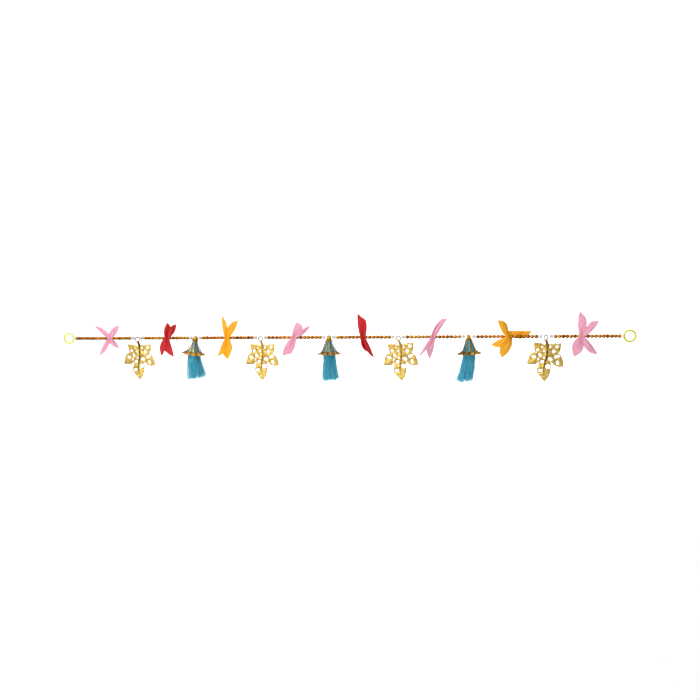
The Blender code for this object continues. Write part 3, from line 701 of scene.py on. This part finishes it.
def bell_shell(bm):
    """Ribs and slots from a cap to a ridged, wavy flare."""
    rows = smooth_line(BELL_SIDE, 6)
    relief = bm.verts.layers.float.new("relief")
    columns = RIB_COLUMNS + SLOT_COLUMNS
    grid = []
    for radius, z in rows:
        share = slot_share(z)
        ring = []
        for sector in range(BELL_SECTORS):
            for column in range(columns):
                if column < RIB_COLUMNS:
                    across = column / RIB_COLUMNS - 0.5
                    turn = across * (1 - share)
                    bulge = RIB_BULGE * (1 - (2 * across) ** 2)
                else:
                    across = (column - RIB_COLUMNS) / SLOT_COLUMNS
                    turn = (1 - share) / 2 + across * share
                    bulge = -0.3 * math.sin(math.pi * across)
                angle = 2 * math.pi * (sector + turn) / BELL_SECTORS
                flare = max(0.0, (radius - 12.5) / 6.4)
                out = radius + bulge * min(1.0, radius / 5.0)
                height = z - 0.55 * flare * math.cos(2 * math.pi * turn)
                vert = bm.verts.new(Vector((out * math.cos(angle), out * math.sin(angle), height)) * MM)
                # Painted highlight on each rib's crown and painted shade at its sides and in the grooves and
                # slots; less of both on the flare.
                tone = 0.24 * bulge / RIB_BULGE - 0.12 if bulge > 0 else -0.26
                vert[relief] = tone * (1 - 0.6 * flare)
                ring.append(vert)
        grid.append((z, ring))
    total = BELL_SECTORS * columns
    for (upper_z, upper), (lower_z, lower) in zip(grid, grid[1:]):
        open_row = upper_z <= SLOT_TOP + 0.2 and lower_z >= SLOT_FOOT - 0.2
        for side in range(total):
            if open_row and side % columns >= RIB_COLUMNS:
                continue
            after = (side + 1) % total
            bm.faces.new((upper[side], lower[side], lower[after], upper[after]))
    bm.faces.new(reversed(grid[0][1]))


def bell_loop(bm):
    """A broad eye that widens into the cap's crown, with its hole along the strand."""
    inner, outer, half = 2.2, 4.9, 2.3
    middle = (inner + outer) / 2
    radial = (outer - inner) / 2
    profile = []
    for index in range(16):
        angle = 2 * math.pi * index / 16
        squared = [math.copysign(abs(value) ** 0.7, value) for value in (math.cos(angle), math.sin(angle))]
        profile.append((middle + radial * squared[0], half * squared[1]))
    first = len(bm.verts)
    add_lathe(bm, profile, 40, Matrix.Translation((0.0, 0.0, -BELL_LOOP_DROP * MM)) @ TO_X, closed=True)
    bm.verts.ensure_lookup_table()
    top = (outer - BELL_LOOP_DROP) * MM
    for vert in bm.verts[first:]:
        widening = 1 + 0.09 * (top - vert.co.z) / MM
        vert.co.x *= widening


def bell_mesh():
    shell = bmesh.new()
    bell_shell(shell)
    bmesh.ops.solidify(shell, geom=shell.faces[:], thickness=BELL_WALL * MM)
    bell_loop(shell)
    return finish_mesh("openwork_bell", shell)


# Tassels

HEAD_TOP_Z = -8.6
ROOT_Z = -19.6
ROOT_RADIUS = 9.2
HEAD_SHRINK = 0.46
Tassel = namedtuple("Tassel", "length sway spread slant seed strays")
TASSELS = [
    Tassel(45.0, 10.0, 0.60, -0.50, 11, (-4.0, 17.0)), Tassel(47.5, 0.5, 0.42, -0.10, 12, (-13.0, 15.0)),
    Tassel(48.0, -9.0, 0.30, 0.0, 13, (4.0, 27.0)),
]
# The shortest, the longest and the commonest cut, from the tassel's own length
STRAND_CUTS = (-6.0, 3.0, 0.5)
STRAND_DRIFT = 1.9
STRAY_SHARE = 0.08
CLUMPS = 34


def strand_path(root, tassel, picks, clump, stray):
    """One strand from inside the bell to its cut end, in millimetres."""
    length = tassel.length + tassel.slant * root.x + picks.triangular(*STRAND_CUTS)
    drift = Vector((picks.gauss(0.0, STRAND_DRIFT), picks.gauss(0.0, STRAND_DRIFT), 0.0))
    if stray:
        low, high = tassel.strays
        drift.x += picks.uniform(low, high)
        drift.y += picks.uniform(-6.0, 6.0)
        length *= picks.uniform(0.6, 1.08)
    wave = picks.uniform(0.2, 0.75) * (2.2 if stray else 1.0)
    phase = picks.uniform(0.0, 6.3)
    turns = picks.uniform(1.5, 3.5)
    points = [Vector((root.x * HEAD_SHRINK, root.y * HEAD_SHRINK, HEAD_TOP_Z))]
    steps = 11
    for step in range(steps + 1):
        along = step / steps
        bend = along ** 1.5
        gather = 0.35 * bend if not stray else 0.0
        x = root.x * (1 + tassel.spread * bend) + tassel.sway * bend + drift.x * bend
        y = root.y * (1 + tassel.spread * bend) + drift.y * bend
        x += (clump.x - root.x) * gather + wave * math.sin(phase + turns * 6.28 * along) * along
        y += (clump.y - root.y) * gather + wave * math.cos(phase + turns * 6.28 * along) * along
        points.append(Vector((x, y, ROOT_Z - length * along)))
    return [point * MM for point in points]


def tone_strand(bm, first, tone):
    """Marks the newest vertices with their strand's own tone."""
    bm.verts.ensure_lookup_table()
    relief = bm.verts.layers.float["relief"]
    for vert in bm.verts[first:]:
        vert[relief] = tone


def tassel_mesh(name, tassel, count, width):
    """A core that fills the bell, and fine strands that lie over it and hang in locks."""
    picks = random.Random(tassel.seed)
    bm = bmesh.new()
    bm.verts.layers.float.new("relief")
    core = [(0.0, -4.2), (2.6, -4.3), (3.7, -6.0), (4.8, -9.6), (6.4, -14.0), (8.4, ROOT_Z), (7.6, -24.0),
            (0.0, -27.0)]
    add_lathe(bm, core, 40, Matrix.Identity(4))
    clumps = []
    for index in range(CLUMPS):
        angle = index * 2.4
        radius = ROOT_RADIUS * math.sqrt((index + 0.5) / CLUMPS)
        clumps.append(Vector((radius * math.cos(angle), radius * math.sin(angle), 0.0)))
    for index in range(count):
        angle = picks.uniform(0.0, 2 * math.pi)
        radius = ROOT_RADIUS * math.sqrt(picks.uniform(0.12, 1.0))
        root = Vector((radius * math.cos(angle), radius * math.sin(angle), 0.0))
        clump = min(clumps, key=lambda place: (place - root).length)
        stray = index < count * STRAY_SHARE
        points = strand_path(root, tassel, picks, clump, stray)
        thick = width * (0.45 if stray else 1.0)
        radii = [thick / 2 * (1 - 0.35 * place / len(points)) for place in range(len(points))]
        first = len(bm.verts)
        add_tube(bm, points, radii, 3)
        tone_strand(bm, first, picks.gauss(0.04, 0.13))
    return finish_mesh(name, bm)


# Ribbon bows

WaistPoint = namedtuple("WaistPoint", "x y")
PINCHED_WAIST = [
    WaistPoint(-3.6, -4.7), WaistPoint(-2.9, -5.5), WaistPoint(-2.0, -5.2), WaistPoint(-1.0, -4.0),
    WaistPoint(0.0, -2.7),
    WaistPoint(1.0, -4.0), WaistPoint(2.0, -5.2), WaistPoint(2.9, -5.5), WaistPoint(3.6, -4.7),
]
PIERCED_WAIST = [
    WaistPoint(-4.8, -4.8), WaistPoint(-3.4, -5.0), WaistPoint(-1.9, -4.6), WaistPoint(-0.6, -2.8),
    WaistPoint(0.0, 0.0),
    WaistPoint(0.6, 2.8), WaistPoint(1.9, 4.6), WaistPoint(3.4, 5.0), WaistPoint(4.8, 4.8),
]
RIPPLE = 1.3
SPINE_RISE = 0.6
Wing = namedtuple("Wing", "left notch right left_bow right_bow left_full right_full")
# cut is the ribbon's length from tip to tip before it was tied; notches is the depth of both its notches
Bow = namedtuple("Bow", "colour pierced cut notches upper lower")
BOWS = [
    Bow("pink", False, 52.0, 33.0,
        Wing((-26.3, -4.0, 21.5), (-0.5, -6.0, 8.2), (21.2, -11.0, 23.3), 3.0, 4.5, 0.10, 0.10),
        Wing((-17.6, -10.0, -28.0), (0.2, -7.0, -7.6), (14.0, -1.0, -16.6), 5.0, 3.0, 0.10, 0.10)),
    Bow("red", False, 60.0, 22.0,
        Wing((5.8, -13.0, 26.4), (8.0, -6.0, 18.6), (13.5, 5.0, 22.4), 7.5, 7.0, 0.12, 0.12),
        Wing((-13.8, 3.0, -30.3), (-5.4, -4.0, -20.2), (13.0, -11.0, -29.9), 12.5, 1.5, 0.04, 0.04)),
    Bow("orange", False, 69.0, 24.0,
        Wing((-4.9, -9.0, 36.5), (2.4, -7.0, 17.0), (19.5, -2.0, 29.0), 4.5, 5.0, 0.10, 0.12),
        Wing((-20.2, 5.0, -31.6), (-8.3, -4.0, -25.2), (1.9, -13.0, -33.3), 2.5, 12.5, 0.02, 0.02)),
    Bow("pink", False, 60.0, 10.0,
        Wing((7.3, -14.0, 25.6), (16.2, -9.0, 11.0), (27.2, -4.0, 18.8), 3.5, 7.0, 0.25, 0.18),
        Wing((-22.4, 6.0, -30.0), (-11.0, -3.0, -26.5), (-2.5, -12.0, -23.5), 7.0, 4.0, 0.05, 0.05)),
    Bow("red", False, 61.0, 6.0,
        Wing((-9.2, 5.0, 36.5), (-2.4, -4.0, 32.1), (6.6, -12.0, 27.0), 4.0, 3.0, 0.10, 0.10),
        Wing((2.7, -13.0, -18.0), (7.0, -6.0, -22.0), (16.0, 4.0, -33.4), 4.5, 2.0, 0.06, 0.06)),
    Bow("pink", False, 70.0, 15.0,
        Wing((14.6, 4.0, 28.6), (18.4, -3.0, 27.6), (23.4, -9.0, 30.6), 6.5, 0.5, 0.03, 0.03),
        Wing((-23.0, -13.0, -30.3), (-10.2, -6.0, -18.8), (-6.0, 5.0, -35.6), 1.0, 3.5, 0.05, 0.05)),
    Bow("orange", True, 61.0, 26.0,
        Wing((-17.0, -10.0, 26.4), (-1.1, 7.0, 8.3), (34.0, 8.5, 7.4), 4.5, 16.5, 0.24, 0.0),
        Wing((-26.6, -9.0, -11.6), (-13.7, -8.0, -15.4), (-10.9, -2.0, -32.2), 3.0, 12.5, 0.10, 0.10)),
    Bow("pink", False, 66.0, 34.0,
        Wing((-3.5, -3.0, 38.0), (6.0, -7.0, 13.6), (22.8, -12.0, 24.0), 4.5, 7.0, 0.18, 0.22),
        Wing((-11.8, -12.0, -28.8), (3.4, -6.0, -14.2), (24.0, 1.0, -27.5), 13.5, 3.0, 0.16, 0.16)),
]
ROWS_A_WING = 26
COLUMNS = 40
RIBBON_WIDTH = 22.0
PLEAT_DEPTH = 0.55
CRINKLE = 0.32


def edge_line(start, end, bow_out, side):
    """Start, middle and end of one ribbon edge; side is -1 on the left as the wing points up."""
    chord = end - start
    across = Vector((chord.z, 0.0, -chord.x)).normalized()
    return start, (start + end) / 2 + across * bow_out * side, end


def along_line(line, share):
    start, middle, end = line
    return start * (1 - share) ** 2 + middle * 2 * share * (1 - share) + end * share ** 2


def lobe_swell(notch, tip, fullness, side):
    """How far the cut edge from notch to tip stands out at its middle."""
    chord = tip - notch
    return Vector((-chord.z, 0.0, chord.x)) * fullness * side


def waist_point(waist, place):
    """A point of the waist's section; place runs from 0 at the left edge to 2 at the right."""
    at = place / 2 * (len(waist) - 1)
    index = min(int(at), len(waist) - 2)
    return waist[index].lerp(waist[index + 1], at - index)


def wing_rows(wing, waist, facing, seed):
    """Rows of points from beside the waist to the swallow tail; facing is 1 for the upper half."""
    fold = waist[len(waist) // 2]
    left = edge_line(waist[0], Vector(wing.left), wing.left_bow * facing, -1)
    right = edge_line(waist[-1], Vector(wing.right), wing.right_bow * facing, 1)
    notch = Vector(wing.notch)
    spine = (fold, Vector((fold.x, (fold.y + notch.y) / 2, SPINE_RISE * notch.z)), notch)
    swells = (lobe_swell(notch, Vector(wing.left), wing.left_full * facing, -1),
              lobe_swell(notch, Vector(wing.right), wing.right_full * facing, 1))
    rows = []
    for step in range(1, ROWS_A_WING + 1):
        share = step / ROWS_A_WING
        row = []
        for column in range(COLUMNS + 1):
            place = 2 * column / COLUMNS
            edge, swell = (left, swells[0]) if place <= 1 else (right, swells[1])
            reach = abs(1 - place)
            point = along_line(spine, share).lerp(along_line(edge, share), reach)
            lobe = swell * share ** 2 * math.sin(math.pi * reach)
            pleat = waist_point(waist, place) - fold.lerp(edge[0], reach)
            ripple = RIPPLE * math.sin(math.pi * share) * math.cos(2 * math.pi * place)
            ripple += PLEAT_DEPTH * math.sin(math.pi * share ** 0.7) * math.cos(5 * math.pi * place + seed)
            crease = noise.noise((point.x * 0.16, point.z * 0.16, seed * 7.0))
            ripple += CRINKLE * 2 * crease * share
            row.append(point + lobe + pleat * (1 - share) ** 2 + Vector((0.0, ripple, 0.0)))
        rows.append(row)
    return rows


def add_ribbon(bm, bow, seed):
    """One strip of ribbon, gathered at its waist, with its map in millimetres along and across."""
    section = PIERCED_WAIST if bow.pierced else PINCHED_WAIST
    waist = [Vector((point.x, point.y, 0.0)) for point in section]
    middle = [waist_point(waist, 2 * column / COLUMNS) for column in range(COLUMNS + 1)]
    rows = list(reversed(wing_rows(bow.upper, waist, 1, seed))) + [middle]
    rows += wing_rows(bow.lower, waist, -1, seed + 0.5)
    cloth = bm.loops.layers.uv.new("cloth")
    verts = [[bm.verts.new(point * MM) for point in row] for row in rows]
    length_step = bow.cut / (len(rows) - 1)
    width_step = RIBBON_WIDTH / COLUMNS
    for row in range(len(rows) - 1):
        for column in range(COLUMNS):
            corners = ((row, column), (row + 1, column), (row + 1, column + 1), (row, column + 1))
            face = bm.faces.new([verts[r][c] for r, c in corners])
            for loop, (r, c) in zip(face.loops, corners):
                loop[cloth].uv = (c * width_step, r * length_step)


def bow_mesh(name, bow, seed):
    bm = bmesh.new()
    add_ribbon(bm, bow, seed)
    return finish_mesh(name, bm)


def wrap_mesh(name, pierced):
    """Two turns of thread that hold the ribbon's waist to the strand."""
    bm = bmesh.new()
    front, back, half_height = (-5.9, 1.0, 1.5) if not pierced else (-1.2, 1.2, 1.2)
    for shift in (-0.35, 0.35):
        points = []
        for step in range(25):
            angle = 2 * math.pi * step / 24
            y = (front + back) / 2 + (back - front) / 2 * math.cos(angle)
            z = half_height * math.sin(angle)
            points.append(Vector((shift, y, z)) * MM)
        add_tube(bm, points, [0.25 * MM] * len(points), 8)
    return finish_mesh(name, bm)


# The add-on's settings, operators and panel

class ToranSettings(bpy.types.PropertyGroup):
    bead_sides: IntProperty(name="Bead sides", description="Sides of each round bead", default=24)
    strands: IntProperty(name="Strands", description="Fine strands in each tassel", default=620)
    yarn_width: FloatProperty(name="Yarn width", description="Width of one strand of the tassels",
                              default=0.00046, unit="LENGTH", subtype="DISTANCE")
    leaf_grain: FloatProperty(name="Leaf grain", description="Spacing of the points on a leaf's face",
                              default=0.0009, unit="LENGTH", subtype="DISTANCE")
    ribbon_thickness: FloatProperty(name="Ribbon thickness", description="Thickness of the bows' cloth",
                                    default=0.0004, unit="LENGTH", subtype="DISTANCE")


def pendant_x(name):
    """Where a pendant hangs along the strand: its joint's axis."""
    joint = next(joint for joint in frame["joints"] if joint["name"] == f"{name}_swing")
    return joint["pos_m"][0]


class TORAN_OT_end_rings(bpy.types.Operator):
    """Add the two lime plastic rings and the thread tied to each"""
    bl_idname = "toran.end_rings"
    bl_label = "End Rings"

    def execute(self, context):
        thread = thread_material()
        tints = {"left": ("#D7E23A", "#ECF562"), "right": ("#B9C418", "#D2DC34")}
        for side, (name, tint) in zip((-1, 1), tints.items()):
            ring = f"ring_{name}"
            tie = f"tie_{name}"
            low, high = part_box(ring)
            centre = [(a + b) / 2 for a, b in zip(low, high)]
            plastic = ring_material(f"lime_plastic_{name}", *tint)
            add_piece(f"plastic_{ring}", end_ring_mesh(ring), [plastic], "strand", [ring], centre)
            add_piece(f"thread_{tie}", tie_mesh(tie, side), [thread], "strand", [tie])
        return {"FINISHED"}


class TORAN_OT_gold_beads(bpy.types.Operator):
    """Add the sixteen runs of gold beads on their thread"""
    bl_idname = "toran.gold_beads"
    bl_label = "Gold Beads"

    def execute(self, context):
        sides = context.scene.toran.bead_sides
        materials = [plated_bead_material(), thread_material()]
        for number in range(1, len(BEADS_IN_RUNS) + 1):
            node = f"gold_run_{number:02d}"
            mesh = gold_run_mesh(number, sides)
            add_piece(f"gold_beads_{number:02d}", mesh, materials, "strand", [node])
        return {"FINISHED"}


class TORAN_OT_clear_beads(bpy.types.Operator):
    """Add the clear beads beside each pendant and the thread through them"""
    bl_idname = "toran.clear_beads"
    bl_label = "Clear Beads"

    def execute(self, context):
        clear = glass_bead_material()
        thread = thread_material()
        bead = clear_bead_mesh(context.scene.toran.bead_sides + 8)
        number = 0
        for index, pendant in enumerate(LEAN, start=1):
            x = pendant_x(pendant)
            half = 0.0
            for side in (-1, 1):
                number += 1
                node = f"clear_bead_{number:02d}"
                low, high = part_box(node)
                half = max(half, abs(low[0] - x), abs(high[0] - x))
                place = ((low[0] + high[0]) / 2, 0.0, 0.0)
                add_piece(f"acrylic_bead_{number:02d}", bead, [clear], "strand", [node], place)
            bare = bare_thread_mesh(half / MM)
            node = f"thread_{index}"
            add_piece(f"nylon_thread_{index}", bare, [thread], "strand", [node], (x, 0.0, 0.0))
        return {"FINISHED"}


class TORAN_OT_leaves(bpy.types.Operator):
    """Add the four pierced gold leaves"""
    bl_idname = "toran.leaves"
    bl_label = "Leaves"

    def execute(self, context):
        spacing = context.scene.toran.leaf_grain / MM
        metal = leaf_metal_material()
        for name, stem_painted_shade in RIB_PAINTED_SHADE.items():
            mesh = leaf_mesh(spacing, stem_painted_shade)
            place = (pendant_x(name), 0.0, 0.0)
            add_piece(f"gold_{name}", mesh, [metal], f"{name}_pendant", [name], place, LEAN[name])
        return {"FINISHED"}


class TORAN_OT_bells(bpy.types.Operator):
    """Add the three openwork bells"""
    bl_idname = "toran.bells"
    bl_label = "Bells"

    def execute(self, context):
        mesh = bell_mesh()
        metal = bell_metal_material()
        for name in [name for name in LEAN if name.startswith("bell")]:
            place = (pendant_x(name), 0.0, 0.0)
            add_piece(f"openwork_{name}", mesh, [metal], f"{name}_pendant", [name], place, LEAN[name])
        return {"FINISHED"}


class TORAN_OT_tassels(bpy.types.Operator):
    """Add the turquoise tassel that hangs out of each bell"""
    bl_idname = "toran.tassels"
    bl_label = "Tassels"

    def execute(self, context):
        settings = context.scene.toran
        yarn = yarn_material()
        for number, tassel in enumerate(TASSELS, start=1):
            bell = f"bell_{number}"
            node = f"tassel_{number}"
            mesh = tassel_mesh(f"yarn_{node}", tassel, settings.strands, settings.yarn_width)
            place = (pendant_x(bell), 0.0, 0.0)
            add_piece(f"yarn_{node}", mesh, [yarn], f"{bell}_pendant", [node], place, LEAN[bell])
        return {"FINISHED"}


class TORAN_OT_bows(bpy.types.Operator):
    """Add the eight ribbon bows and the thread that holds each"""
    bl_idname = "toran.bows"
    bl_label = "Bows"

    def execute(self, context):
        settings = context.scene.toran
        cloth = {
            "pink": ribbon_material("pink_organza", [(0.3, "#E68EAC"), (0.7, "#F4B4C9")],
                                    {"Roughness": 0.6, "Alpha": 0.88, "Sheen Weight": 0.1}),
            "red": ribbon_material("red_satin", [(0.3, "#B40A14"), (0.7, "#D41620")], {"Roughness": 0.45}),
            "orange": ribbon_material("orange_satin", [(0.3, "#EE9600"), (0.7, "#FFBE0A")],
                                      {"Roughness": 0.45}),
        }
        for number, bow in enumerate(BOWS, start=1):
            node = f"bow_{number}"
            place = (knot_place(number) * MM, 0.0, 0.0)
            mesh = bow_mesh(f"ribbon_{node}", bow, number * 1.7)
            ribbon = add_piece(f"ribbon_{node}", mesh, [cloth[bow.colour]], "strand", [node], place)
            thickness = ribbon.modifiers.new("Cloth thickness", "SOLIDIFY")
            thickness.thickness = settings.ribbon_thickness
            thickness.offset = 0.0
            wrap = wrap_mesh(f"wrap_{number}", bow.pierced)
            wrap_piece = add_piece(f"wrap_{number}", wrap, [cloth[bow.colour]], "strand", [], place)
        return {"FINISHED"}


CAMERA_TARGET = (0.0278, 0.0, -0.0202)
CAMERA_DISTANCE = 1.2
CAMERA_AZIMUTH = 9.54
CAMERA_ELEVATION = 7.5
CAMERA_ROLL = -1.352
CAMERA_LENS = 39.33
FLOOR_Z = -0.245
Lamp = namedtuple("Lamp", "name place aim width height power colour")
LAMPS = [
    Lamp("key", (-0.6, -1.4, 1.0), (0.0, 0.0, 0.0), 0.5, 0.5, 14.0, "#FFFFFF"),
    Lamp("front_card", (-0.5, -2.2, -0.05), (0.0, 0.0, 0.0), 2.2, 0.6, 14.0, "#FFFFFF"),
    Lamp("overhead", (0.0, 0.9, 1.7), (0.0, 0.6, -0.2), 2.6, 1.4, 24.0, "#FFFFFF"),
    Lamp("backdrop_light", (0.0, 0.9, 1.2), (0.0, 2.4, 0.5), 3.6, 1.0, 60.0, "#FFFFFF"),
]
WORLD_COLOUR = "#FFFFFF"
WORLD_STRENGTH = 0.34


def add_backdrop():
    """A sheet of paper that sweeps up behind the object."""
    bm = bmesh.new()
    radius = 0.8
    wall_y = 2.4
    section = [(-4.0, FLOOR_Z)]
    for step in range(13):
        angle = math.pi / 2 * step / 12
        back = wall_y - radius + radius * math.sin(angle)
        section.append((back, FLOOR_Z + radius - radius * math.cos(angle)))
    section.append((wall_y, 4.0))
    sides = [[bm.verts.new((x, y, z)) for y, z in section] for x in (-5.0, 5.0)]
    for index in range(len(section) - 1):
        bm.faces.new((sides[0][index], sides[1][index], sides[1][index + 1], sides[0][index + 1]))
    backdrop = bpy.data.objects.new("backdrop", finish_mesh("backdrop", bm))
    backdrop.data.materials.append(stage_material())
    backdrop.visible_glossy = False
    bpy.context.scene.collection.objects.link(backdrop)


def add_lamp(lamp):
    light = bpy.data.lights.new(lamp.name, "AREA")
    light.energy = lamp.power
    light.shape = "RECTANGLE"
    light.size = lamp.width
    light.size_y = lamp.height
    light.color = linear(lamp.colour)[:3]
    holder = bpy.data.objects.new(lamp.name, light)
    holder.location = lamp.place
    aim = Vector(lamp.aim) - Vector(lamp.place)
    holder.rotation_euler = aim.to_track_quat("-Z", "Y").to_euler()
    bpy.context.scene.collection.objects.link(holder)


def add_world():
    world = bpy.data.worlds.new("soft_studio")
    world.use_nodes = True
    background = world.node_tree.nodes["Background"]
    background.inputs["Color"].default_value = linear(WORLD_COLOUR)
    background.inputs["Strength"].default_value = WORLD_STRENGTH
    bpy.context.scene.world = world
    bpy.context.scene.view_settings.view_transform = "Standard"


def add_camera():
    """The camera that took the photograph, fitted to the strand; its roll is the photo's."""
    azimuth, elevation = math.radians(CAMERA_AZIMUTH), math.radians(CAMERA_ELEVATION)
    back = Vector((math.sin(azimuth) * math.cos(elevation), -math.cos(azimuth) * math.cos(elevation),
                   math.sin(elevation)))
    right = (-back).cross(Vector((0.0, 0.0, 1.0))).normalized()
    up = back.cross(right)
    roll = math.radians(CAMERA_ROLL)
    columns = (right * math.cos(roll) + up * math.sin(roll),
               up * math.cos(roll) - right * math.sin(roll), back)
    turn = Matrix(columns).transposed().to_4x4()
    camera = bpy.data.cameras.new("camera")
    camera.lens = CAMERA_LENS
    holder = bpy.data.objects.new("camera", camera)
    holder.matrix_world = Matrix.Translation(Vector(CAMERA_TARGET) + back * CAMERA_DISTANCE) @ turn
    bpy.context.scene.collection.objects.link(holder)
    bpy.context.scene.camera = holder


class TORAN_OT_stage(bpy.types.Operator):
    """Add the white backdrop, the soft lights and the camera"""
    bl_idname = "toran.stage"
    bl_label = "Stage"

    def execute(self, context):
        add_backdrop()
        add_world()
        for lamp in LAMPS:
            add_lamp(lamp)
        add_camera()
        return {"FINISHED"}


OPERATORS = (
    TORAN_OT_end_rings, TORAN_OT_gold_beads, TORAN_OT_clear_beads, TORAN_OT_leaves, TORAN_OT_bells,
    TORAN_OT_tassels, TORAN_OT_bows, TORAN_OT_stage,
)


class TORAN_PT_panel(bpy.types.Panel):
    """Builds the toran piece by piece"""
    bl_idname = "TORAN_PT_panel"
    bl_label = "Toran Door Hanging"
    bl_space_type = "VIEW_3D"
    bl_region_type = "UI"
    bl_category = "Toran"

    def draw(self, context):
        settings = context.scene.toran
        for name in settings.bl_rna.properties.keys():
            if name not in ("rna_type", "name"):
                self.layout.prop(settings, name)
        for operator in OPERATORS:
            self.layout.operator(operator.bl_idname)


def register():
    for made in (ToranSettings, *OPERATORS, TORAN_PT_panel):
        bpy.utils.register_class(made)
    bpy.types.Scene.toran = PointerProperty(type=ToranSettings)


def unregister():
    del bpy.types.Scene.toran
    for made in reversed((ToranSettings, *OPERATORS, TORAN_PT_panel)):
        bpy.utils.unregister_class(made)


def main():
    register()
    bpy.ops.toran.end_rings()
    bpy.ops.toran.gold_beads()
    bpy.ops.toran.clear_beads()
    bpy.ops.toran.leaves()
    bpy.ops.toran.bells()
    bpy.ops.toran.tassels()
    bpy.ops.toran.bows()
    bpy.ops.toran.stage()


if __name__ == "__main__":
    main()
